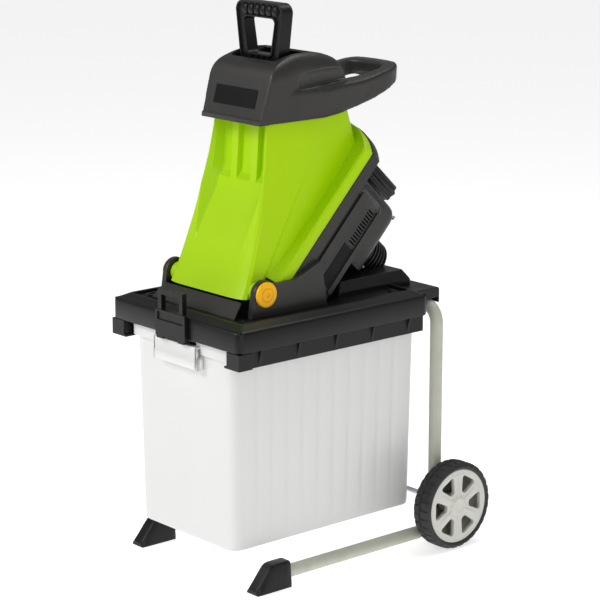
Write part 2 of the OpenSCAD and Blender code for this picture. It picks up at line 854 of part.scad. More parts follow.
module start_button() { color("#3FA63A") button(button_u[0], 9); }
module stop_button() { color("#C4261D") button(button_u[1], 9); }
module reset_button() { color("#1E1E1E") button(button_u[2], 5); }

module power_inlet() {
    color(black) seam() translate([0, 86, -67]) difference() {
        rod_x(-body_hw - 30, -body_hw - 0.2, 21);
        difference() {
            rod_x(-body_hw - 31, -body_hw - 6, 17.5);
            for (i = [0 : 2]) rotate([120 * i, 0, 0]) translate([0, 9, 0])
                rod_x(-body_hw - 26, -body_hw - 5, 2.4);
        }
    }
}

frame_tube_left();
frame_tube_right();
tube_clamps();
clamp_bolts();
foot_left();
foot_right();
axle();
wheel_washers();
axle_clips();
rim_left();
rim_right();
tyre_left();
tyre_right();
hub_cap_left();
hub_cap_right();
base_cover();
bin_rail_left();
bin_rail_right();
rail_screws();
collection_bin();
latch_slider();
front_apron();
discharge_chute();
motor_housing();
motor_cowl();
motor_end_cap();
cowl_screws();
rating_label();
pivot_cap_left();
pivot_cap_right();
pivot_screws();
hopper_shell();
hood();
name_plate();
handle_grip();
hood_screws();
chute_liner();
plunger_handle();
plunger_block();
motor_plate();
motor_stator();
motor_shaft();
armature();
commutator();
carbon_brushes();
cooling_fan();
bearing_upper();
bearing_lower();
blade_disc();
blades();
blade_screws();
disc_nut();
lock_knob();
lock_screw();
lock_washer();
switch_box();
start_button();
stop_button();
reset_button();
power_inlet();
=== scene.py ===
"""Looks of the electric garden shredder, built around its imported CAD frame."""

import json
import math

import bmesh
import bpy
from mathutils import Matrix, Vector

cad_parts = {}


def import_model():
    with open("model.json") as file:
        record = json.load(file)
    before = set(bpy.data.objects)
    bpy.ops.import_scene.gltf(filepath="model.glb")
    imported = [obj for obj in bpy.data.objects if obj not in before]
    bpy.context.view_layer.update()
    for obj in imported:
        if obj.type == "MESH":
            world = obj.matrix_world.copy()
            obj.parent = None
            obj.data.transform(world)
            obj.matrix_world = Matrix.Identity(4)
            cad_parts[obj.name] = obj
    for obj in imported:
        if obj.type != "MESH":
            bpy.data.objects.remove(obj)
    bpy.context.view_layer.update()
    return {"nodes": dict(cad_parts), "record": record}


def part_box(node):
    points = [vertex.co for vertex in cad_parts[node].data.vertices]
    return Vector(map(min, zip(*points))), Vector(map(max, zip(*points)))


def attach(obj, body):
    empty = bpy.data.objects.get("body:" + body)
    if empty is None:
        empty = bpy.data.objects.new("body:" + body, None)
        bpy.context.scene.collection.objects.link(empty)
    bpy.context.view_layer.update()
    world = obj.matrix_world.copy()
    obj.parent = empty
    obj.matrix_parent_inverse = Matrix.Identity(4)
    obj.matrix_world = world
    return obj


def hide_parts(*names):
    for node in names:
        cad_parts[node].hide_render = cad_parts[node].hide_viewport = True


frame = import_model()
nodes = frame["nodes"]
joints = {j["name"]: j for j in frame["record"]["behaviour"]["joints"]}

# ------------ places

COVER_HALF_LENGTH = 224
COVER_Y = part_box("base_cover")[0].y * 1000 + COVER_HALF_LENGTH   # centre of the cover, mm
MOTOR_U = 165                                                    # motor axis up the joint plane
X = Vector((1, 0, 0))
Y = Vector((0, 1, 0))
Z = Vector((0, 0, 1))
SEAM_N = Vector(joints["cutter_spin"]["axis"]).normalized()
SEAM_U = Vector((0, SEAM_N.z, -SEAM_N.y))
MOTOR = Vector(joints["cutter_spin"]["pos_m"])
AXLE = Vector(joints["wheel_right_spin"]["pos_m"])


def at(x, y, z):
    """A point from millimetres about the base cover's centre, on the ground."""
    return Vector((x, y + COVER_Y, z)) / 1000


def on_seam(x, u, n):
    """A point on the joint between hopper and housing: u up the joint, n out of it, millimetres."""
    return MOTOR + (Vector((x, 0, 0)) + SEAM_U * (u - MOTOR_U) + SEAM_N * n) / 1000


# ------------ materials

ROUGH_SPREAD = 0.12       # how far the roughness wanders about its own value
RELIEF = 0.0004           # depth of the surface grain, m
HIGHLIGHT_FROM, HIGHLIGHT_TO = 0.53, 0.62   # pointiness at which the painted highlight on an edge starts, and is full


def socket(shader, name, value):
    shader.inputs[name].default_value = value


def surface(name, colour, rough, metal=0.0, mottle=0.12, patch=14.0, grain=900.0, bump=0.25, edge_highlight=0.0,
            coat=0.0, stretch=(1, 1, 1), sheen=0.0, glow=0.0, level=0.5):
    """A moulded or metal finish: patchy colour, fine grain in the bump, uneven roughness, painted highlights
    on sharp edges.
    """
    mat = bpy.data.materials.new(name)
    mat.use_nodes = True
    tree = mat.node_tree
    shader = tree.nodes["Principled BSDF"]

    def node(kind, **settings):
        made = tree.nodes.new(kind)
        for key, value in settings.items():
            setattr(made, key, value)
        return made

    def noise(scale, detail):
        made = node("ShaderNodeTexNoise")
        made.inputs["Scale"].default_value = scale
        made.inputs["Detail"].default_value = detail
        tree.links.new(mapping.outputs[0], made.inputs["Vector"])
        return made.outputs["Fac"]

    def spread(fac, low, high):
        made = node("ShaderNodeMapRange")
        made.inputs["From Min"].default_value = 0.3
        made.inputs["From Max"].default_value = 0.7
        made.inputs["To Min"].default_value = low
        made.inputs["To Max"].default_value = high
        tree.links.new(fac, made.inputs["Value"])
        return made.outputs["Result"]

    place = node("ShaderNodeTexCoord")
    mapping = node("ShaderNodeMapping")
    mapping.inputs["Scale"].default_value = stretch
    tree.links.new(place.outputs["Object"], mapping.inputs["Vector"])

    tint = node("ShaderNodeMix", data_type="RGBA")
    shade = [c * (1 - mottle) for c in colour]
    light = [min(1, c * (1 + mottle)) for c in colour]
    tint.inputs["A"].default_value = (*shade, 1)
    tint.inputs["B"].default_value = (*light, 1)
    tree.links.new(noise(patch, 4), tint.inputs["Factor"])
    colour_out = tint.outputs["Result"]
    # painted highlight: sharp edges, found by pointiness, are lightened in patches as if light caught them
    if edge_highlight:
        geometry = node("ShaderNodeNewGeometry")
        edge = node("ShaderNodeMapRange")
        edge.inputs["From Min"].default_value = HIGHLIGHT_FROM
        edge.inputs["From Max"].default_value = HIGHLIGHT_TO
        tree.links.new(geometry.outputs["Pointiness"], edge.inputs["Value"])
        highlight_amount = node("ShaderNodeMath", operation="MULTIPLY")
        tree.links.new(edge.outputs["Result"], highlight_amount.inputs[0])
        tree.links.new(spread(noise(60, 3), 0, edge_highlight), highlight_amount.inputs[1])
        highlighted = node("ShaderNodeMix", data_type="RGBA")
        highlighted.inputs["B"].default_value = (*[min(1, c * 2.2 + 0.05) for c in colour], 1)
        tree.links.new(highlight_amount.outputs[0], highlighted.inputs["Factor"])
        tree.links.new(colour_out, highlighted.inputs["A"])
        colour_out = highlighted.outputs["Result"]
    tree.links.new(colour_out, shader.inputs["Base Color"])

    uneven = spread(noise(45, 5), rough * (1 - ROUGH_SPREAD), rough * (1 + ROUGH_SPREAD))
    tree.links.new(uneven, shader.inputs["Roughness"])
    relief = node("ShaderNodeBump")
    relief.inputs["Strength"].default_value = bump
    relief.inputs["Distance"].default_value = RELIEF
    tree.links.new(noise(grain, 3), relief.inputs["Height"])
    tree.links.new(relief.outputs["Normal"], shader.inputs["Normal"])
    socket(shader, "Metallic", metal)
    socket(shader, "Coat Weight", coat)
    socket(shader, "Specular IOR Level", level)
    if sheen:
        socket(shader, "Sheen Weight", sheen)
    if glow:
        socket(shader, "Subsurface Weight", glow)
        socket(shader, "Subsurface Radius", (0.012, 0.012, 0.011))
        socket(shader, "Subsurface Scale", 1.0)
    return mat


# the edge amount in each finish sets the strength of its painted highlight on sharp edges
FINISHES = {
    "green_plastic": dict(colour=(0.42, 0.70, 0.0), rough=0.45, mottle=0.035, patch=7, grain=1500, bump=0.05,
                          edge_highlight=0.04, coat=0.04, level=0.22),
    "charcoal_plastic": dict(colour=(0.024, 0.0225, 0.021), rough=0.40, mottle=0.12, patch=10, grain=2100,
                             bump=0.35, edge_highlight=0.2, level=0.42),
    "black_plastic": dict(colour=(0.0055, 0.0052, 0.005), rough=0.36, mottle=0.2, patch=12, grain=1800,
                          bump=0.22, edge_highlight=0.12, level=0.27),
    "amber_plastic": dict(colour=(1.0, 0.50, 0.0), rough=0.35, mottle=0.05, patch=40, grain=1500, bump=0.05,
                          coat=0.1, level=0.25),
    "bin_plastic": dict(colour=(0.75, 0.75, 0.74), rough=0.36, mottle=0.03, patch=5, grain=700, bump=0.06,
                        glow=0.12, stretch=(1, 1, 0.3)),
    "tube_paint": dict(colour=(0.475, 0.482, 0.40), rough=0.42, mottle=0.04, patch=20, grain=1300, bump=0.18,
                       edge_highlight=0.15),
    "rim_plastic": dict(colour=(0.62, 0.62, 0.57), rough=0.42, mottle=0.04, patch=20, grain=1500, bump=0.08),
    "tyre": dict(colour=(0.018, 0.018, 0.018), rough=0.62, mottle=0.2, patch=40, grain=1300, bump=0.4,
                 edge_highlight=0.3),
    "rubber_grip": dict(colour=(0.02, 0.02, 0.02), rough=0.7, mottle=0.2, patch=60, grain=1600, bump=0.4,
                        sheen=0.1),
    "steel": dict(colour=(0.56, 0.57, 0.59), rough=0.34, metal=1.0, mottle=0.08, patch=60, grain=1400,
                  bump=0.12, stretch=(1, 6, 1)),
    "blade_steel": dict(colour=(0.64, 0.65, 0.67), rough=0.26, metal=1.0, mottle=0.06, patch=80, grain=1500,
                        bump=0.25, stretch=(1, 9, 1)),
    "copper": dict(colour=(0.72, 0.30, 0.13), rough=0.36, metal=0.9, mottle=0.22, patch=150, grain=1600,
                   bump=0.8, stretch=(9, 1, 1)),
    "carbon": dict(colour=(0.03, 0.03, 0.03), rough=0.6, mottle=0.3, patch=200, grain=2500, bump=0.3),
    "label": dict(colour=(0.0015, 0.0015, 0.0015), rough=0.42, mottle=0.3, patch=30, grain=900, bump=0.02,
                  level=0.2),
    "start_green": dict(colour=(0.05, 0.4, 0.05), rough=0.3, mottle=0.06, patch=60, grain=1400, bump=0.06),
    "stop_red": dict(colour=(0.6, 0.02, 0.015), rough=0.3, mottle=0.06, patch=60, grain=1400, bump=0.06),
}
MAT = {name: surface(name, **finish) for name, finish in FINISHES.items()}

# ------------ mesh building


class Shape:
    """Gathers the faces of one piece, in metres."""

    def __init__(self):
        self.verts = []
        self.faces = []

    def add(self, verts, faces):
        start = len(self.verts)
        self.verts += [Vector(v) for v in verts]
        self.faces += [[start + i for i in f] for f in faces]
        return self

    def loft(self, rings, caps=(True, True), closed=True):
        """Faces between rings of equal length; each cap closes an end."""
        count = len(rings[0])
        faces = []
        for r in range(len(rings) - 1):
            for i in range(count if closed else count - 1):
                k = (i + 1) % count
                faces.append([r * count + i, r * count + k, (r + 1) * count + k, (r + 1) * count + i])
        if caps[0]:
            faces.append(list(reversed(range(count))))
        if caps[1]:
            faces.append([(len(rings) - 1) * count + i for i in range(count)])
        return self.add([v for ring in rings for v in ring], faces)

    def prism(self, outline, along):
        """An outline swept along a vector, both ends closed."""
        return self.loft([outline, [p + along for p in outline]])

    def block(self, low, high):
        (x0, y0, z0), (x1, y1, z1) = low, high
        plan = ((x0, y0), (x1, y0), (x1, y1), (x0, y1))
        return self.loft([[at(x, y, z) for x, y in plan] for z in (z0, z1)])

    def lathe(self, profile, centre, axis, side, steps=72, radius=None):
        """Turns (distance along, radius) pairs in millimetres about an axis; radius(a, i, r) may vary it."""
        across = axis.cross(side)
        rings = []
        for i, (d, r) in enumerate(profile):
            ring = []
            for k in range(steps):
                a = 2 * math.pi * k / steps
                rr = radius(a, i, r) if radius else r
                ring.append(centre + (axis * d + (side * math.cos(a) + across * math.sin(a)) * rr) / 1000)
            rings.append(ring)
        return self.loft(rings, caps=(profile[0][1] > 0.01, profile[-1][1] > 0.01))

    def tube(self, path, radius, sides):
        """A round bar along points."""
        rings = []
        up = Vector((0, 0, 1))
        for i, p in enumerate(path):
            ahead = (path[min(i + 1, len(path) - 1)] - path[max(i - 1, 0)]).normalized()
            right = ahead.cross(up)
            right = right.normalized() if right.length > 1e-3 else Vector((1, 0, 0))
            top = right.cross(ahead).normalized()
            rings.append([p + (right * math.cos(a) + top * math.sin(a)) * radius / 1000
                          for a in (2 * math.pi * k / sides for k in range(sides))])
        return self.loft(rings)

    def mirrored(self):
        """Adds the same shape on the other side of the machine."""
        start = len(self.verts)
        self.verts += [Vector((-v.x, v.y, v.z)) for v in self.verts[:start]]
        self.faces += [[start + i for i in reversed(f)] for f in self.faces]
        return self

    def mesh(self, name):
        data = bpy.data.meshes.new(name)
        data.from_pydata([tuple(v) for v in self.verts], [], self.faces)
        work = bmesh.new()
        work.from_mesh(data)
        bmesh.ops.remove_doubles(work, verts=work.verts, dist=1e-6)
        bmesh.ops.dissolve_degenerate(work, dist=1e-6, edges=work.edges)
        bmesh.ops.recalc_face_normals(work, faces=work.faces)
        work.to_mesh(data)
        work.free()
        return data

    def made(self, name):
        return link(name, self.mesh(name))


def link(name, data):
    made = bpy.data.objects.new(name, data)
    bpy.context.scene.collection.objects.link(made)
    return made


def modifier(obj, kind, **settings):
    made = obj.modifiers.new(kind.lower(), kind)
    for key, value in settings.items():
        setattr(made, key, value)
    return made


def round_edges(obj, width, angle=32, segments=3):
    """Rounds the hard edges by so many millimetres and keeps flat faces flat."""
    modifier(obj, "BEVEL", width=width / 1000, segments=segments, limit_method="ANGLE",
             angle_limit=math.radians(angle), harden_normals=True, miter_outer="MITER_ARC")


def apply_all(obj):
    """Replaces an object's mesh by its evaluated one."""
    bpy.context.view_layer.update()
    shown = obj.evaluated_get(bpy.context.evaluated_depsgraph_get())
    data = bpy.data.meshes.new_from_object(shown)
    obj.modifiers.clear()
    obj.data = data
    return obj


def piece(name, shape, slot, body, replaces=(), bevel=0.0, segments=3, angle=32):
    """Turns a shape into a finished piece that rides on a body."""
    obj = shape if isinstance(shape, bpy.types.Object) else shape.made(name)
    obj.data.materials.clear()
    obj.data.materials.append(MAT[slot])
    obj.data.shade_smooth()
    if bevel:
        round_edges(obj, bevel, angle, segments)
    else:
        obj.data.set_sharp_from_angle(angle=math.radians(angle))
    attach(obj, body)
    if replaces:
        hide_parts(*replaces)
    return obj


def cut(obj, shape, operation="DIFFERENCE"):
    """Cuts a mesh by a shape, or joins the shape to it."""
    other = shape.made("cutter")
    modifier(obj, "BOOLEAN", object=other, operation=operation, solver="EXACT")
    apply_all(obj)
    bpy.data.objects.remove(other)
    return obj


def corners_of(hx, y0, y1, r):
    """Centre and first angle of each corner's arc, anticlockwise from the front right."""
    return ((hx - r, y0 + r, -90), (hx - r, y1 - r, 0), (-hx + r, y1 - r, 90), (-hx + r, y0 + r, 180))


def rounded(hx, y0, y1, r, steps=5):
    """Points of a rectangle with rounded corners, anticlockwise from the middle of the front."""
    r = max(0.01, min(r, hx - 0.01, (y1 - y0) / 2 - 0.01))
    points = [(0, y0)]
    for cx, cy, start in corners_of(hx, y0, y1, r):
        for k in range(steps + 1):
            a = math.radians(start + 90 * k / steps)
            points.append((cx + r * math.cos(a), cy + r * math.sin(a)))
    return points


def blend(a, b, t):
    return a + (b - a) * t


def table(x, pairs):
    """Straight-line interpolation in a list of (x, value) pairs."""
    if x <= pairs[0][0]:
        return pairs[0][1]
    for (x0, v0), (x1, v1) in zip(pairs, pairs[1:]):
        if x <= x1:
            return blend(v0, v1, (x - x0) / (x1 - x0))
    return pairs[-1][1]


# ------------ hopper

NECK_Z = 826
FOOT_Z = 516
HOPPER_WALL = 3
# heights at which the hopper is drawn
FRONT_ROWS = (516, 522, 540, 557, 578, 590, 599, 606, 615, 629, 644, 660, 677, 692, 704, 709, 714, 720, 728,
              745, 767, 790, 809, 826)
# outer front edge, along the fins' ridges
FRONT_EDGE = [(516, -153), (545, -140), (576, -129), (607, -118), (641, -106), (675, -95), (710, -86),
              (745, -78), (772, -74), (800, -70.5), (826, -68)]
RIDGE_X = [(516, 62), (590, 63), (599, 65), (629, 71), (664, 78), (690, 83), (705, 85.5), (826, 72)]
RIDGE_Y = [(516, -156), (545, -142), (576, -131), (599, -123), (629, -112), (664, -100.5), (690, -92.5),
           (705, -88), (745, -79), (772, -74.5), (800, -71), (826, -68.5)]
PANEL_Y = [(516, -156), (545, -142), (576, -131), (594, -124.5), (604, -119.5), (615, -113), (629, -104.5),
           (644, -95.5), (677, -75.5), (700, -66), (714, -63), (761, -59.5), (826, -55.2)]
CHANNEL_DEPTH = [(704, 0), (712, 6.5), (722, 9.5), (826, 9.5)]
PANEL_HALF = 66          # half width of the panel between the fins
RIBS = (18.5, 36.5)      # the two ribs left standing between channels


def hopper_half_width(z):
    return 108 - 36 * (z - FOOT_Z) / (NECK_Z - FOOT_Z)


def valley(u):
    """The crease between the hopper's side and the bevel above its flange: x and n at a height u."""
    return (table(u, [(-30, 100), (47, 95), (139, 88), (237, 80), (275, 76)]),
            table(u, [(-30, 38), (0, 30), (47, 25), (139, 18), (237, 14), (300, 13)]))


def flange_outline():
    """Right half of the flange, each point with the valley point inside it: (x, u), (x, u)."""
    side = [((118, u), (valley(u)[0], u)) for u in (-26, -8, 20, 60, 100, 140, 180, 220, 250, 268)]
    crown = [((117.5, 276), (75, 277)), ((108, 285.3), (73.5, 284)), ((95, 296.3), (70, 290)),
             ((80, 306.3), (64, 295)), ((62, 315.3), (54, 298)), ((30, 325.1), (28, 298)),
             ((0, 328), (0, 298))]
    return side + crown


def hopper_columns():
    """Columns of points from the hopper's foot to its neck, from the front's middle round to the back's."""
    columns = []

    def column(place):
        columns.append([at(*place(z), z) for z in FRONT_ROWS])

    def panel(x, channel):
        column(lambda z: (min(x, table(z, RIDGE_X) - 3), table(z, PANEL_Y) + channel * table(z,
                CHANNEL_DEPTH)))

    for x in (0, 9, RIBS[0] - 1.5):
        panel(x, 1)
    for x in (RIBS[0] + 0.5, 27.5, RIBS[1] - 0.5):
        panel(x, 0)
    for x in (RIBS[1] + 1.5, 50, PANEL_HALF - 5):
        panel(x, 1)
    panel(PANEL_HALF, 0.75)

    def ridge(z, t):
        x = min(table(z, RIDGE_X), hopper_half_width(z) - 4.5)
        return (blend(min(PANEL_HALF, x - 1.5), x, t), blend(table(z, PANEL_Y), table(z, RIDGE_Y), t ** 0.8))

    column(lambda z: ridge(z, 0.5))
    column(lambda z: ridge(z, 0.94))
    column(lambda z: ridge(z, 1.0))
    for t, back in ((0.35, -0.3), (0.62, 0.6), (0.85, 3.4), (0.97, 8.5)):
        column(lambda z: (blend(ridge(z, 1)[0], hopper_half_width(z), t),
                          blend(table(z, RIDGE_Y), table(z, FRONT_EDGE), t) + back))
    column(lambda z: (hopper_half_width(z) + 0.4, table(z, FRONT_EDGE) + 20 + 0.05 * (z - FOOT_Z)))

    def ruled(foot, top):
        return [foot.lerp(top, (z - FOOT_Z) / (NECK_Z - FOOT_Z)) for z in FRONT_ROWS]

    columns.append(ruled(at(108.2, -127, 516), at(72.2, 52, NECK_Z)))
    columns.append(ruled(at(107.9, -122, 524), at(72, 79, NECK_Z)))
    neck = [(71.5, 88), (71.5, 91), (71.5, 94), (71.5, 97), (71.5, 100), (71.5, 103), (71.5, 106),
            (71.5, 109), (71.5, 111.5), (71.5, 114), (71, 116.5), (69.5, 119), (66.5, 121), (61, 122),
            (52, 122), (28, 122), (0, 122)]
    for (_, (x, u)), (nx, ny) in zip(flange_outline(), neck):
        columns.append(ruled(on_seam(x, u, valley(u)[1]), at(nx, ny, NECK_Z)))
    return columns


def hopper_shell():
    shape = Shape()
    columns = hopper_columns()
    shape.loft(columns, caps=(False, False), closed=False)
    strips = []
    for (ox, ou), (vx, vu) in flange_outline():
        n = valley(vu)[1]
        rim = 20.5

        def inward(t, height):
            return on_seam(blend(ox, vx, t), blend(ou, vu, t), height)

        strips.append([on_seam(ox, ou, 0.6), inward(0.012, rim * 0.5), inward(0.05, rim * 0.88),
                       inward(0.14, rim), inward(0.5, blend(rim, n, 0.5)), inward(0.97, n), inward(1.0, n)])
    shape.loft(strips, caps=(False, False), closed=False)
    shape.mirrored()
    shell = shape.made("hopper_shell_green")
    modifier(shell, "SOLIDIFY", thickness=HOPPER_WALL / 1000, offset=-1, use_even_offset=False)
    apply_all(shell)
    return piece("hopper_shell_green", shell, "green_plastic", "hopper", ["hopper_shell"], bevel=1.4,
                 angle=16, segments=3)


hopper_shell()

# the pivots' bosses and the lock's boss, inside the shell
PIVOT_Y, PIVOT_Z = -121.6, 526
bosses = Shape()
bosses.lathe([(101, 8.4), (101, 17), (103, 18), (116, 18), (117.9, 16.5), (117.9, 8.4), (101, 8.4)],
             at(0, PIVOT_Y, PIVOT_Z), X, Y)
bosses.mirrored()
bosses.lathe([(1, 5.4), (1, 12), (22, 11), (22, 5.4), (1, 5.4)], on_seam(0, 300, 0), SEAM_N, X)
piece("hopper_bosses", bosses, "green_plastic", "hopper", bevel=0.5)

# ------------ hood

# y, half width at the foot, half width and height of the shoulder's start, crest half width, top
HOOD_SECTIONS = [
    (-91.2, 81.5, 81.6, 813, 80, 815.5), (-88, 81.6, 82.2, 823, 80.4, 825.3), (-84, 81.7, 83, 836, 81, 839),
    (-80, 81.8, 83.9, 850, 81.8, 852.9), (-76, 82, 84.8, 863, 82.4, 866.7), (-72, 82, 85.6, 876, 82.6, 880),
    (-68, 82.2, 86.2, 885, 82, 892.5), (-64, 82.4, 86.4, 888, 80, 901), (-60, 82.5, 86.5, 889, 78, 906.8),
    (-54, 82.8, 86.5, 889, 76, 912), (-48, 83, 86.5, 889, 74, 915.6), (-43, 83, 86.4, 889, 72, 918),
    (-36, 83.3, 86.2, 889, 70, 921), (-24, 83.8, 85.4, 891, 68, 925), (-10, 84, 83.8, 894, 66, 928),
    (5, 84.5, 82.3, 897, 65, 929.5), (25, 84.8, 81.6, 898, 64, 930), (45, 85, 81.5, 898, 64, 928.8),
    (62, 85, 81.5, 897, 64, 925.5), (78, 85, 81.5, 894, 64, 920.5), (90, 84.5, 81.2, 890, 64, 915.5),
    (100, 83, 80.5, 886, 63, 908.5), (108, 81, 79, 880, 62, 900), (114, 79, 77.5, 872, 61, 889),
    (118, 77, 76, 862, 60, 877), (122, 76, 75.5, 850, 61, 862), (127, 75.5, 75, 836, 64, 845),
    (132, 75, 75, 820, 68, 826)]
HOOD_FOOT = 806
HOOD_BOTTOM = 812.4


def hood_section(y, foot, shoulder, start, crest, top, shrink=0.0):
    """An arch across the hood: leaning sides, then an elliptical shoulder up to a flat top."""
    steps = 9
    arc = [(crest + (shoulder - crest) * math.cos(a) - shrink, start + (top - start) * math.sin(a) - shrink)
           for a in (math.radians(90 * k / steps) for k in range(steps + 1))]
    right = [(foot - shrink, HOOD_FOOT - shrink)] + arc
    return [at(x, y, z) for x, z in right] + [at(-x, y, z) for x, z in reversed(right)]


def hood_block(shrink=0.0, narrow=200.0):
    """The hood's solid form; narrow keeps the hollow inside clear of the scoops in its sides."""
    shape = Shape()
    first, last = HOOD_SECTIONS[0][0] + shrink, HOOD_SECTIONS[-1][0] - shrink
    middle = sum(section[0] for section in HOOD_SECTIONS) / len(HOOD_SECTIONS)
    rings = []
    for y, foot_half, shoulder, start, crest, top in HOOD_SECTIONS:
        nearer = y + shrink if y < middle else y - shrink
        if y > -26:
            shoulder, crest = min(shoulder, narrow), min(crest, narrow - 3)
        rings.append(hood_section(max(first, min(last, nearer)), foot_half, shoulder, start, crest, top,
                                  shrink))
    return shape.loft(rings)


# outer x, y; inner x, y; top outside, top inside, underside
ARM_STATIONS = [
    (84.5, -30, 64, -30, 866, 866, 812), (86.3, -5, 62, -5, 866.5, 868, 812.5),
    (86.6, 40, 61, 40, 865.5, 870, 813.5), (86.5, 70, 60.5, 70, 864.5, 871, 815.5),
    (85.5, 96, 60.5, 96, 867.5, 873.5, 818), (84.5, 120, 60.5, 120, 869, 875.5, 821.8),
    (83.3, 146, 60.2, 146, 870.3, 877, 826.7), (81.5, 172, 59.5, 170, 874, 879, 833),
    (79.5, 194, 58, 190, 879, 882, 839.5), (77.5, 212, 56, 205, 882.5, 884, 845),
    (75, 226, 53, 214, 885.5, 886, 850.5), (70.5, 240, 48.5, 222, 888.5, 888, 856.5),
    (63, 250, 43, 227.5, 890.5, 889.5, 859.5), (52, 256, 36, 231, 892, 890.5, 861),
    (36, 259, 26, 233, 892.5, 891, 862), (0, 260, 0, 234, 893, 891.5, 862)]


def arm_block():
    half = ARM_STATIONS
    full = half + [(-a, b, -c, d, e, f, g) for a, b, c, d, e, f, g in reversed(half[:-1])]
    rings = []
    for ox, oy, ix, iy, top_out, top_in, low in full:
        def point(t, z):
            return at(blend(ix, ox, t), blend(iy, oy, t), z)

        lean = 0.09 if oy < 150 else 0.04
        rings.append([point(0.12, low + 1), point(0.5, low), point(1 - lean, low), point(1.0, top_out - 5),
                      point(0.93, top_out), point(0.5, blend(top_in, top_out, 0.4) + 0.5),
                      point(0.08, top_in), point(0.0, top_in - 4), point(0.02, low + 8)])
    return Shape().loft(rings)


def scoop_block():
    """The hollow above each arm, in the hood's side."""
    plan = [(92, -16), (83, -8), (77.5, 6), (74.5, 24), (73, 55), (72, 90), (70, 135), (104, 135), (104, -16)]
    rings = []
    for z, out in ((868.2, 0), (882, 0.6), (890, 2.2), (895.5, 5), (899, 9.5)):
        rings.append([at(x + out * (x < 90), y, z + 0.02 * y + (0.10 * (y - 60) if y > 60 and z < 870 else 0))
                      for x, y in plan])
    return Shape().loft(rings).mirrored()


def hood():
    body = hood_block().made("hood_body")
    cut(body, scoop_block())
    cut(body, arm_block(), "UNION")
    modifier(body, "REMESH", mode="VOXEL", voxel_size=0.0022)
    modifier(body, "SMOOTH", factor=0.5, iterations=3)
    apply_all(body)
    mouth = Shape()
    mouth.loft([[at(x, y, z) for x, y in rounded(60.5 + grow, -40.5 - grow, 38.5 + grow, 7 + grow)]
                for z, grow in ((880, 0), (912, 0), (918, 0.8), (925, 3), (945, 9))])
    cut(body, mouth)
    cut(body, hood_block(3.0, 67.0))
    side = [(-120, 780), (-120, HOOD_BOTTOM), (55, 813), (96, 817.5), (140, 825.5), (140, 780)]
    under = Shape().prism([at(-120, y, z) for y, z in side], X * 0.24)
    cut(body, under)
    return piece("hood_charcoal", body, "charcoal_plastic", "hopper", ["hood"], angle=40)


hood()


def hood_lip():
    """The stepped lower edge along the hood's front."""
    shape = Shape()
    outline = [(-82.6, -70), (-82.8, -86), (-81.4, -92), (-78, -93.2), (78, -93.2), (81.4, -92), (82.8, -86),
               (82.6, -70)]
    rings = []
    for x, y in outline:
        inward = Vector((-x, -20 - y, 0)).normalized() * 3.5
        rings.append([at(x, y, 812), at(x, y + 0.6, 819.5), at(x + inward.x * 0.5, y + 1.2 + inward.y * 0.5,
                                                               821.5),
                      at(x + inward.x, y + inward.y, 821.5), at(x + inward.x, y + inward.y, 812)])
    return piece("hood_lip", shape.loft(rings), "charcoal_plastic", "hopper", bevel=0.5, segments=2)


hood_lip()


def front_panel(low_up, high_up, half, out, depth, radius):
    """A rounded plate on the hood's leaning front face; low_up and high_up run up the face."""
    foot = at(0, -91.2, 815.5)
    up = (at(0, -72, 881) - foot).normalized()
    away = Vector((0, -up.z, up.y))
    middle = (low_up + high_up) / 2
    points = rounded(half, low_up - middle, high_up - middle, radius, 4)
    ring = [foot + (X * x + up * (v + middle) + away * out) / 1000 for x, v in points]
    return Shape().prism(ring, -away * depth / 1000)


piece("name_plate_blank", front_panel(24, 57.5, 57, 1.0, 2.4, 2), "label", "hopper", ["name_plate"],
      bevel=0.5)

# ------------ plunger

GRIP_Y0, GRIP_Y1 = -26, -1


def handle_outline(grow, hole):
    """The plunger's ring in the plane of its face: (x, z) points of the outer or inner edge."""
    if hole:
        corners = [(32, 925, 7), (41.5, 989, 9)]
    else:
        corners = [(51.5, 909, 1), (64, 1016.5, 17)]
    points = []
    for (x, z, r), start in ((corners[0], -90), (corners[1], 0)):
        x += grow
        z += -grow if start < 0 else grow
        cx, cz = x - r, z + r if start < 0 else z - r
        for k in range(7):
            a = math.radians(start + 90 * k / 6)
            points.append((cx + r * math.cos(a), cz + r * math.sin(a)))
    return points + [(-x, z) for x, z in reversed(points)]


def plunger_handle():
    shape = Shape()
    outer = handle_outline(0, False)
    inner = handle_outline(0, True)
    web_out = handle_outline(-3.2, False)
    web_in = handle_outline(3.2, True)
    count = len(outer)
    levels = [(outer, GRIP_Y0), (web_out, GRIP_Y0), (web_out, GRIP_Y0 + 4), (web_in, GRIP_Y0 + 4),
              (web_in, GRIP_Y0), (inner, GRIP_Y0), (inner, GRIP_Y1), (web_in, GRIP_Y1),
              (web_in, GRIP_Y1 - 4), (web_out, GRIP_Y1 - 4), (web_out, GRIP_Y1), (outer, GRIP_Y1)]
    columns = [[at(ring[i][0], y, ring[i][1]) for ring, y in levels] for i in range(count)]
    verts = [v for column in columns for v in column]
    depth = len(levels)
    faces = [[i * depth + k, ((i + 1) % count) * depth + k, ((i + 1) % count) * depth + (k + 1) % depth,
              i * depth + (k + 1) % depth] for i in range(count) for k in range(depth)]
    shape.add(verts, faces)
    for x in (-24, -8, 8, 24):
        shape.block((x - 1.5, GRIP_Y0 + 0.6, 911), (x + 1.5, GRIP_Y1 - 0.6, 923.5))
    flange = [at(x, y, 908.4) for x, y in rounded(57.4, -41.4, 35.4, 5)]
    top = [at(x, y, 911.4) for x, y in rounded(57.4, -41.4, 35.4, 5)]
    rim = [at(x, y, 913) for x, y in rounded(56, -40, 34, 4)]
    well = [at(x, y, 911.5) for x, y in rounded(53, -37, 31, 3)]
    shape.loft([flange, top, rim, well])
    return piece("plunger_handle_ring", shape, "black_plastic", "plunger", ["plunger_handle"], bevel=0.9,
                 segments=3)


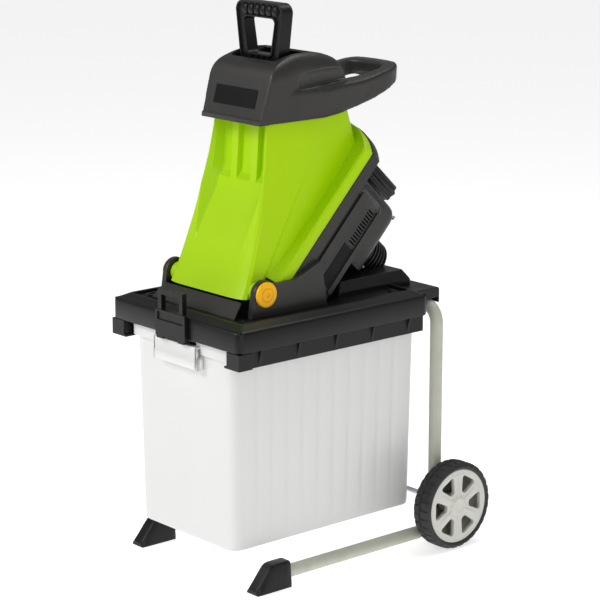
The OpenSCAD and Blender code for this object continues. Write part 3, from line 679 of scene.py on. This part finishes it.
def plunger_rings():
    """Six fat ribs around the bar at the top of the handle."""
    shape = Shape()
    ribs = 6
    pitch = 16.2
    centre_y, centre_z = (GRIP_Y0 + GRIP_Y1) / 2, 1001.6

    def ring(x, deep, high):
        return [at(x, centre_y + deep * math.cos(t), centre_z + high * math.sin(t))
                for t in (2 * math.pi * i / 36 for i in range(36))]

    for k in range(ribs):
        mid = (k - (ribs - 1) / 2) * pitch
        rings = []
        for j in range(11):
            a = math.pi * j / 10
            swell = math.sin(a) ** 0.55
            rings.append(ring(mid - 6.3 * math.cos(a), 10.6 + 3.0 * swell, 11.2 + 3.4 * swell))
        shape.loft(rings)
    shape.loft([ring(-50, 10.2, 10.8), ring(50, 10.2, 10.8)])
    return piece("plunger_grip_ribs", shape, "black_plastic", "plunger", angle=50)


def duct():
    """Straight duct below the mouth, thin at the front where the hopper's panel comes close."""
    shape = Shape()
    levels = ((730, -41.8), (908, -41.8), (914.4, -44))
    outer = [[at(x, y, z) for x, y in rounded(61.5, front, 40, 5)] for z, front in levels]
    lip = [[at(x, y, z) for x, y in rounded(58, -42, 36, 4)] for z in (914.4, 908)]
    inner = [[at(x, y, z) for x, y in rounded(55, -39, 33, 4)] for z in (908, 730)]
    shape.loft(outer + lip + inner + outer[:1], caps=(False, False))
    return piece("duct_inner", shape, "black_plastic", "hopper", ["chute_liner"], bevel=0.5, segments=2)


duct()
plunger_handle()
plunger_rings()

# ------------ pivot caps

for side, label in ((1, "right"), (-1, "left")):
    cap = Shape()
    cap.lathe([(130.2, 21.5), (130.2, 22.6), (133.2, 22.6), (135.2, 21.6), (136, 19.8), (136.0, 13.6),
               (134.6, 13.0), (134.6, 11.6), (136.6, 11.0), (137, 9.8), (137, 4.6), (134.6, 4.2),
               (134.6, 0.005)],
              at(0, PIVOT_Y, PIVOT_Z), X * side, Y, steps=96)
    cap.lathe([(101.8, 2.8), (101.8, 7.8), (131, 7.8)], at(0, PIVOT_Y, PIVOT_Z), X * side, Y, steps=48)
    piece(f"pivot_cap_amber_{label}", cap, "amber_plastic", "chassis", [f"pivot_cap_{label}"], bevel=0.35,
          segments=2)

# ------------ base cover

COVER_HW, COVER_HL = 182, COVER_HALF_LENGTH
SKIRT_Z, RIM_Z, DECK_Z = 444, 491, 486
TONGUE_HW, TONGUE_END = 155, 276


def cover_ring(inset, r, z):
    return [at(x, y, z) for x, y in rounded(COVER_HW - inset, -COVER_HL + inset, COVER_HL - inset, r, 6)]


def base_cover():
    shape = Shape()
    shape.loft([cover_ring(4, 10, 478), cover_ring(4, 10, SKIRT_Z), cover_ring(0.8, 14, SKIRT_Z),
                cover_ring(0, 14, SKIRT_Z + 2), cover_ring(0, 14, 462), cover_ring(0, 14, 477.5),
                cover_ring(0.9, 14, 480.2), cover_ring(3, 13, 482.2), cover_ring(6, 13, 483.4),
                cover_ring(19, 10, 489.6), cover_ring(22, 9, RIM_Z), cover_ring(26, 8, RIM_Z),
                cover_ring(28, 7, DECK_Z), cover_ring(28, 7, DECK_Z - 4)], caps=(False, False))
    for low, high in (((-154, -196, 482), (154, -64, DECK_Z)), ((-154, 36, 482), (154, 196, DECK_Z)),
                      ((-154, -64, 482), (-62.2, 36, DECK_Z)), ((62.2, -64, 482), (154, 36, DECK_Z))):
        shape.block(low, high)
    for y0, y1 in ((-COVER_HL + 3.9, -192), (192, COVER_HL - 3.9)):
        shape.block((-COVER_HW + 3.9, y0, 476), (COVER_HW - 3.9, y1, 482.5))
    for s in (-1, 1):
        x0, x1 = sorted((s * 150, s * (COVER_HW - 3.9)))
        shape.block((x0, -COVER_HL + 4, 476), (x1, COVER_HL - 4, 482.5))
        for y in (-190, -60, 60, 190):
            shape.lathe([(SKIRT_Z, 1.8), (SKIRT_Z, 5), (479, 5.5)], at(s * 161, y, 0), Z, X, steps=24)
    # rear tongue over the frame's cross tube, and the raised foot under the motor's end
    shape.loft([[at(x, y, z) for x, y in ((-TONGUE_HW, COVER_HL - 6), (TONGUE_HW, COVER_HL - 6),
                                          (TONGUE_HW, end), (-TONGUE_HW, end))]
                for z, end in ((465, TONGUE_END), (481, TONGUE_END), (484, TONGUE_END - 3))])
    for x in (-TONGUE_HW + 1.5, -TONGUE_HW / 3, TONGUE_HW / 3, TONGUE_HW - 1.5):
        shape.block((x - 1.5, COVER_HL - 6, 455), (x + 1.5, 244.5, 466))
    shape.block((-TONGUE_HW, 272.5, 455), (TONGUE_HW, TONGUE_END, 466))
    shape.loft([[at(x, y, z) for x, y in rounded(hw, y0, y1, r, 5)]
                for z, hw, y0, y1, r in ((484, 105, 72, 252, 6), (494, 105, 72, 252, 6),
                                         (503, 98.5, 78, 247, 6), (511.2, 92, 84, 242, 5))])
    return piece("base_cover_black", shape, "black_plastic", "chassis", ["base_cover"], bevel=1.2,
                 segments=3, angle=28)


base_cover()


def deck_relief():
    """Raised outline and small parts on the deck, which the apron and cheeks stand over."""
    shape = Shape()
    path = rounded(147, -188, 188, 22, 6)
    inner = rounded(142, -183, 183, 18, 6)
    count = len(path)
    for i in range(count):
        k = (i + 1) % count
        quad = [path[i], path[k], inner[k], inner[i]]
        shape.loft([[at(x, y, DECK_Z - 0.5) for x, y in quad], [at(x, y, DECK_Z + 1.6) for x, y in quad]])
    for s in (-1, 1):
        for y in (-176, 176):
            shape.lathe([(DECK_Z - 0.5, 6.5), (DECK_Z + 2.2, 6), (DECK_Z + 2.2, 3.2), (DECK_Z + 0.6, 3),
                         (DECK_Z + 0.6, 0.005)],
                        at(s * 132, y, 0), Z, X, steps=32)
    return piece("deck_relief", shape, "black_plastic", "chassis", bevel=0.4, segments=2)


deck_relief()


def apron():
    """Leaning panel in front of the hopper's foot, with its middle joint."""
    shape = Shape()
    sections = []
    for x in (-117, -112, -60, -21.2, -19.6, -18.0, 60, 112, 117):
        top_x = x * 108 / 117
        dip = 1.2 if x == -19.6 else 0
        end = abs(x) > 113
        sections.append([at(x, -182 + dip, 486.2), at(x, -181.4 + dip, 489),
                         at(blend(x, top_x, 0.5), -170.5 + dip, 501 - 0.6 * end),
                         at(top_x, -159.6 + dip, 512.4 - 1.5 * end), at(top_x, -157.5, 513 - 1.5 * end),
                         at(top_x, -157.5, 509.5), at(x * 0.985, -178, 486.2)])
    shape.loft(sections)
    return piece("front_apron_panel", shape, "charcoal_plastic", "chassis", ["front_apron"], bevel=0.7,
                 segments=2, angle=25)


apron()

# ------------ bin

BIN_HW, BIN_FRONT, BIN_BACK = 139, -205, 234
BIN_FLOOR, BIN_TOP, BIN_DRAFT, BIN_WALL = 70, 442, 5, 2.5
BIN_CORNER = 19
FLUTES = 11


def bin_outline(z, inset, flute):
    """Rounded rectangle whose long sides are fluted, from the middle of the front."""
    pull = BIN_DRAFT * (BIN_TOP - z) / (BIN_TOP - BIN_FLOOR) + inset
    hx, y0, y1 = BIN_HW - pull, BIN_FRONT + pull, BIN_BACK - pull
    r = BIN_CORNER
    points = [(0, y0)]
    for cx, cy, start in corners_of(hx, y0, y1, r):
        for k in range(7):
            a = math.radians(start + 15 * k)
            points.append((cx + r * math.cos(a), cy + r * math.sin(a)))
        if start == -90 or start == 90:
            s = 1 if start == -90 else -1
            low, high = (y0 + r, y1 - r) if s > 0 else (y1 - r, y0 + r)
            steps = FLUTES * 8
            for k in range(1, steps):
                t = k / steps
                wave = max(0, math.cos(2 * math.pi * FLUTES * t) - 0.55) / 0.45
                points.append((s * (hx - flute * wave), blend(low, high, t)))
    return points


def bin_shape():
    """Tapered bin with fluted sides, a turned-out rim and the latch's notch."""
    levels = [(BIN_FLOOR + 6.2, 8.0), (BIN_FLOOR + 0.4, 6.0), (BIN_FLOOR, 3.0), (BIN_FLOOR + 2, 0.6),
              (BIN_FLOOR + 8, 0), (140, 0), (220, 0), (300, 0), (360, 0), (400, 0), (416, 0), (419, 0)]
    shape = Shape()
    outer = [[at(x, y, z) for x, y in bin_outline(z, inset, 0.0 if z < 80 or z > 410 else 1.5)] for z,
             inset in levels[1:]]
    rim = [[at(x, y, z) for x, y in bin_outline(z, -grow, 0.0)] for z,
           grow in ((419.2, 7), (441, 7), (442, 6), (442, -1.5), (438.5, -2.5))]
    inside = [[at(x, y, z) for x, y in bin_outline(z, BIN_WALL + inset, 0.0)] for z, inset in
              ((419, 0), (300, 0), (140, 0), (BIN_FLOOR + 6, 0.5), (BIN_FLOOR + 3, 3.5))]
    shape.loft(outer + rim + inside)
    box = shape.made("collection_bin_milky")
    notch = Shape().block((-48, BIN_FRONT - 18, 434), (48, BIN_FRONT + 8, 450))
    cut(box, notch)
    return piece("collection_bin_milky", box, "bin_plastic", "bin", ["collection_bin"], bevel=0.9,
                 segments=2, angle=30)


bin_shape()


def bin_grip():
    """The stepped pull in the middle of the bin's front rim."""
    shape = Shape()
    hw = 60
    steps = [(391.5, -205.5), (391.5, -219.0), (393.0, -221.8), (396, -223.2), (409, -223.4), (411, -222.2),
             (433, -222.2), (434, -221), (434, -205.5)]
    inner = [(394.5, -205.5), (394.5, -217), (398, -219.6), (430.5, -219.6), (430.5, -205.5)]
    outline = steps + list(reversed(inner))
    shape.prism([at(-hw, y, z) for z, y in outline], X * (2 * hw / 1000))
    for s in (-1, 1):
        x = s * (hw - 1.5)
        shape.prism([at(x - 1.5, y, z) for z, y in steps], X * 0.003)
    return piece("bin_grip_flap", shape, "bin_plastic", "bin", bevel=0.8, segments=3)


bin_grip()

# ------------ wheels

RIM_R, FACE, WHEEL_W, HUB_R = 70, 234.5, 42, 17   # FACE is the distance of the wheels' outer faces
TREADS = 30              # blocks round the tyre
TREAD_FROM = 78          # radius at which the blocks begin
GROOVE = 1.9             # depth between the blocks


def tyre(side, label):
    """A tyre with a middle groove and staggered tread blocks on each side of it."""
    shape = Shape()
    half = WHEEL_W / 2
    inner = FACE - WHEEL_W
    profile = [(2.6, RIM_R + 0.1), (0.4, RIM_R + 3), (0, RIM_R + 5), (0.8, 76.5), (2.5, 79.2), (4.6, 81),
               (7.2, 82.2), (11, 82.5), (18.5, 82.5), (19.2, 82.5), (22.8, 82.5), (23.5, 82.5), (31, 82.5),
               (34.8, 82.2), (37.4, 81), (39.5, 79.2), (41.2, 76.5), (42, RIM_R + 5), (41.6, RIM_R + 3),
               (39.4, RIM_R + 0.1), (2.6, RIM_R + 0.1)]

    def tread(a, i, r):
        d = profile[i][0]
        if r < TREAD_FROM:
            return r
        if 19 < d < 23:
            return r - GROOVE
        turn = (a * TREADS / (2 * math.pi) + (0.0 if d < half else 0.5)) % 1.0
        deep = GROOVE if 5 < d < 37 else 1.2
        return r - (deep if turn < 0.30 else 0.0)

    shape.lathe(profile, Vector((side * inner / 1000, AXLE.y, AXLE.z)), X * side, Y, TREADS * 10, tread)
    return piece(f"tyre_treaded_{label}", shape, "tyre", f"wheel_{label}", [f"tyre_{label}"], angle=35)


def window_outline():
    """A spoke gap of the wheel centre as rounded (radius, tangent) points about the +X spoke gap."""
    corners = [(27.5, -5, 4), (55.5, -18.5, 7), (55.5, 18.5, 7), (27.5, 5, 4)]
    points = []
    count = len(corners)
    for i, (x, y, r) in enumerate(corners):
        here = Vector((x, y))
        back = (Vector(corners[i - 1][:2]) - here).normalized()
        on = (Vector(corners[(i + 1) % count][:2]) - here).normalized()
        a, b = here + back * r, here + on * r
        for k in range(7):
            t = k / 6
            points.append(a.lerp(here, t).lerp(here.lerp(b, t), t))
    bowed = []
    for p in points:
        bowed.append(p * (1 + 0.045 * max(0.0, (p.x - 50) / 8) * (1 - (p.y / 24) ** 2)))
    return bowed


def plate(name, outlines, thickness, bevel):
    """A flat plate with holes, in the XY plane, made as a filled curve."""
    data = bpy.data.curves.new(name, "CURVE")
    data.dimensions = "2D"
    data.fill_mode = "BOTH"
    data.extrude = thickness / 2000 - bevel / 1000
    data.bevel_depth = bevel / 1000
    data.bevel_resolution = 2
    data.offset = -bevel / 1000
    for outline in outlines:
        spline = data.splines.new("POLY")
        spline.points.add(len(outline) - 1)
        for point, p in zip(spline.points, outline):
            point.co = (p[0] / 1000, p[1] / 1000, 0, 1)
        spline.use_cyclic_u = True
    made = link(name, data)
    bpy.context.view_layer.update()
    mesh = bpy.data.meshes.new_from_object(made.evaluated_get(bpy.context.evaluated_depsgraph_get()))
    bpy.data.objects.remove(made)
    return mesh


def circle(r):
    return [(r * math.cos(a), r * math.sin(a)) for a in (2 * math.pi * k / 96 for k in range(96))]


def rim(side, label):
    """Six-spoke wheel centre with raised spoke ridges, an outer bead and the hub."""
    gaps = []
    for i in range(6):
        turn = Matrix.Rotation(math.radians(60 * i), 2)
        gaps.append([tuple(turn @ p) for p in window_outline()])
    mesh = plate("rim_plate", [circle(69.8)] + gaps, 9, 1.2)
    shape = Shape()
    face_x = FACE - 7.5

    def on_wheel(p):
        return Vector((side * (face_x / 1000 + p[2]), AXLE.y + p[0], AXLE.z + p[1]))

    shape.add([on_wheel(v.co) for v in mesh.vertices], [list(p.vertices) for p in mesh.polygons])
    centre = Vector((0, AXLE.y, AXLE.z))
    inner = FACE - WHEEL_W
    shape.lathe([(inner + 3, 70), (inner + 3, 66), (FACE - 8, 64.5), (FACE - 3.4, 64.5),
                 (FACE - 2.6, 65.5), (FACE - 2.6, 68.8), (FACE - 3.6, 70), (inner + 3, 70)],
                centre, X * side, Y, steps=96)
    for i in range(6):
        a = math.radians(60 * i + 30)
        out = Vector((0, math.cos(a), math.sin(a)))
        across = Vector((0, -math.sin(a), math.cos(a)))
        rings = []
        for d, half, high in ((14, 5.5, FACE - 1.2), (22, 5.0, FACE - 1.4),
                              (48, 7.5, FACE - 2.4), (57, 9.5, FACE - 3.2)):
            ring = [(-half, face_x + 2), (-half * 0.45, high), (half * 0.45, high), (half, face_x + 2)]
            rings.append([centre + (out * d + across * w) / 1000 + X * side * h / 1000 for w, h in ring])
        shape.loft(rings)
    shape.lathe([(inner + 0.2, 5.1), (inner + 0.2, HUB_R - 1), (inner + 2, HUB_R),
                 (FACE - 12, HUB_R + 5), (FACE - 4, HUB_R + 4), (FACE - 2, HUB_R + 2.5),
                 (FACE - 2, 12.4), (FACE - 10, 12), (FACE - 10, 5.1), (inner + 0.2, 5.1)],
                centre, X * side, Y, steps=72)
    return piece(f"rim_spoked_{label}", shape, "rim_plastic", f"wheel_{label}", [f"rim_{label}"], bevel=0.5,
                 segments=2, angle=38)


def hub_cap(side, label):
    """Turned cap over the axle's end."""
    shape = Shape()
    shape.lathe([(FACE - 7, 10.5), (FACE - 7, 11.9), (FACE - 3.4, 11.9),
                 (FACE - 3.4, HUB_R), (FACE - 1.6, HUB_R + 0.9), (FACE - 0.5, HUB_R - 0.6),
                 (FACE, HUB_R - 3.6), (FACE - 0.6, HUB_R - 5), (FACE - 0.8, 0.005)],
                Vector((0, AXLE.y, AXLE.z)), X * side, Y, steps=72)
    return piece(f"hub_cap_turned_{label}", shape, "rim_plastic", f"wheel_{label}", [f"hub_cap_{label}"],
                 angle=30)


for side, label in ((1, "right"), (-1, "left")):
    tyre(side, label)
    rim(side, label)
    hub_cap(side, label)

# ------------ feet

FOOT_X = 168


def foot(side, label):
    """Wedge foot on the end of a frame tube."""
    shape = Shape()
    rings = []
    for y, top, half_low, half_top in ((-186, 7, 15.4, 13), (-184.6, 10, 16.4, 13), (-176, 19.5, 17, 13),
                                       (-168, 29, 17, 13), (-160, 38.5, 17, 13), (-154, 45, 17, 13),
                                       (-149, 48, 17, 13), (-142, 49, 17, 13), (-120, 49, 17, 13),
                                       (-110, 48.6, 17, 13), (-108.2, 47, 16.2, 12.4)):
        section = [(half_low - 1, 0), (half_low, 1.2), (half_low - 0.4, min(12, top * 0.4))]
        for k in range(7):
            a = math.radians(15 * k)
            section.append((half_top - 4 + 4 * math.cos(a) + (0 if k else 0.2), top - 4 + 4 * math.sin(a)))
        ring = section + [(-x, z) for x, z in reversed(section)]
        rings.append([at(side * (FOOT_X + x), y, z) for x, z in ring])
    shape.loft(rings)
    return piece(f"foot_skid_{label}", shape, "black_plastic", "chassis", [f"foot_{label}"], bevel=0.8,
                 segments=2, angle=40)


for side, label in ((1, "right"), (-1, "left")):
    foot(side, label)

# ------------ motor housing details


def shoulder_outline(hw, low, top, r):
    points = [(-hw, low), (hw, low)]
    for cx, start in ((hw - r, 0), (-hw + r, 90)):
        for k in range(9):
            a = math.radians(start + 90 * k / 8)
            points.append((cx + r * math.cos(a), top - r + r * math.sin(a)))
    return points


def cowl():
    """Rounded motor cowl below the joint plane."""
    shape = Shape()
    levels = ((-20.4, 0), (-60, 0), (-120, 0.4), (-150, 0.8), (-157, 1.6), (-162, 3.6), (-165.5, 7),
              (-167.4, 11), (-168, 16))
    rings = [[on_seam(x, u, n) for x, u in shoulder_outline(76 - inset, 118 + inset, 262 - inset,
                                                            30 - min(inset, 14) * 0.6)]
             for n, inset in levels]
    shape.loft(rings, caps=(False, True))
    shell = shape.made("motor_cowl_rounded")
    modifier(shell, "SOLIDIFY", thickness=0.0028, offset=-1)
    hole = Shape().lathe([(-190, 39), (-140, 39)], on_seam(0, MOTOR_U, 0), SEAM_N, X)
    apply_all(shell)
    cut(shell, hole)
    return piece("motor_cowl_rounded", shell, "charcoal_plastic", "chassis", ["motor_cowl"], angle=35)


cowl()


def side_trim():
    """Two bars along the joint and a curved edge, on both sides of the housing."""
    shape = Shape()

    def bar(u0, u1, n0, n1, x0, x1):
        section = ((x0, n0), (x1, n0 - 1), (x1, n1 + 1), (x0, n1))
        shape.loft([[on_seam(x, u, n) for x, n in section] for u in (u0, u1)])

    bar(-18, 214, -49, -33, 111.5, 116.5)
    bar(30, 206, -97.5, -89, 111.5, 115)
    path = []
    for k in range(13):
        a = math.radians(90 - 15 * k)
        path.append(on_seam(112.6, 204 + 27 * math.cos(a), -58 + 34 * math.sin(a)))
    shape.tube(path, 1.4, sides=10)
    return piece("housing_side_trim", shape.mirrored(), "charcoal_plastic", "chassis", bevel=0.9, segments=3)


side_trim()


def pivot_edge_line():
    """Thin raised line below the joint band."""
    shape = Shape()
    shape.loft([[on_seam(x, u, n) for x, n in ((111, -20.3), (119.2, -20.3), (119.2, -21.6), (111, -22.4))]
                for u in (-14, 276)])
    return piece("band_edge_line", shape.mirrored(), "charcoal_plastic", "chassis", bevel=0.4, segments=2)


pivot_edge_line()

# ------------ CAD nodes that stay

BEVELS = {"motor_housing": 1.6, "motor_end_cap": 0.9, "latch_slider": 0.9, "bin_rail_left": 0.8,
          "bin_rail_right": 0.8, "plunger_block": 0.8, "switch_box": 1.5, "power_inlet": 0.8,
          "lock_knob": 0.9, "rating_label": 0.3, "discharge_chute": 0.6, "start_button": 0.8,
          "stop_button": 0.8, "reset_button": 0.6, "handle_grip": 0.6, "tube_clamps": 0.8, "blade_disc": 0.4,
          "blades": 0.4, "disc_nut": 0.5, "cooling_fan": 0.3}
SLOTS = {s["node"]: s["material_slot"] for s in frame["record"]["subparts"]}


def finish_cad_node(name, node):
    """The record's own material on a node that stays, with its hard edges rounded."""
    node.data.materials.clear()
    node.data.materials.append(MAT[SLOTS[name]])
    if name in BEVELS:
        modifier(node, "WELD", merge_threshold=1e-5)
        round_edges(node, BEVELS[name], 35, 2)


for name, node in sorted(nodes.items()):
    if not node.hide_render:
        finish_cad_node(name, node)

# ------------ stage, light and camera


def floor():
    """A pale floor that glows a little, so that it stays pale away from the lights."""
    half = 14
    shape = Shape().add([(-half, -half, 0), (half, -half, 0), (half, half, 0), (-half, half, 0)],
                        [[0, 1, 2, 3]])
    made = shape.made("floor")
    mat = bpy.data.materials.new("floor")
    mat.use_nodes = True
    shader = mat.node_tree.nodes["Principled BSDF"]
    socket(shader, "Base Color", (0.9, 0.9, 0.9, 1))
    socket(shader, "Roughness", 0.7)
    socket(shader, "Emission Color", (1, 1, 1, 1))
    socket(shader, "Emission Strength", 0.62)
    made.data.materials.append(mat)


def light(name, place, target, size, power):
    data = bpy.data.lights.new(name, "AREA")
    data.shape = "RECTANGLE"
    data.size, data.size_y = size
    data.energy = power
    made = link(name, data)
    made.location = place
    made.rotation_mode = "QUATERNION"
    made.rotation_quaternion = (Vector(target) - Vector(place)).to_track_quat("-Z", "Y")


def world(strength):
    """A pale studio: dim enough for the form to read, and white where the camera sees it."""
    made = bpy.data.worlds.new("studio")
    made.use_nodes = True
    tree = made.node_tree
    back = tree.nodes["Background"]
    back.inputs["Color"].default_value = (1, 1, 1, 1)
    back.inputs["Strength"].default_value = strength
    seen = tree.nodes.new("ShaderNodeBackground")
    seen.inputs["Color"].default_value = (1, 1, 1, 1)
    seen.inputs["Strength"].default_value = 1.0
    rays = tree.nodes.new("ShaderNodeLightPath")
    mix = tree.nodes.new("ShaderNodeMixShader")
    tree.links.new(rays.outputs["Is Camera Ray"], mix.inputs[0])
    tree.links.new(back.outputs[0], mix.inputs[1])
    tree.links.new(seen.outputs[0], mix.inputs[2])
    tree.links.new(mix.outputs[0], tree.nodes["World Output"].inputs["Surface"])
    bpy.context.scene.world = made


floor()
world(0.29)
light("key", (-1.3, -3.2, 2.9), (0, 0, 0.5), (1.4, 1.4), 74)
light("fill", (3.6, -1.4, 1.6), (0, 0, 0.5), (1.6, 2.2), 26)
light("top", (0.3, 0.9, 3.2), (0, 0, 0.7), (1.6, 1.6), 30)

AZIMUTH, ELEVATION = math.radians(49.2), math.radians(13.5)
camera_data = bpy.data.cameras.new("camera")
camera_data.lens = 137.4
camera = link("camera", camera_data)
camera.location = at(3099.2, -2605.3, 1445.8)
away = Vector((math.sin(AZIMUTH) * math.cos(ELEVATION), -math.cos(AZIMUTH) * math.cos(ELEVATION),
               math.sin(ELEVATION)))
camera.rotation_mode = "QUATERNION"
camera.rotation_quaternion = (-away).to_track_quat("-Z", "Y")
bpy.context.scene.camera = camera
bpy.context.scene.view_settings.view_transform = "Standard"
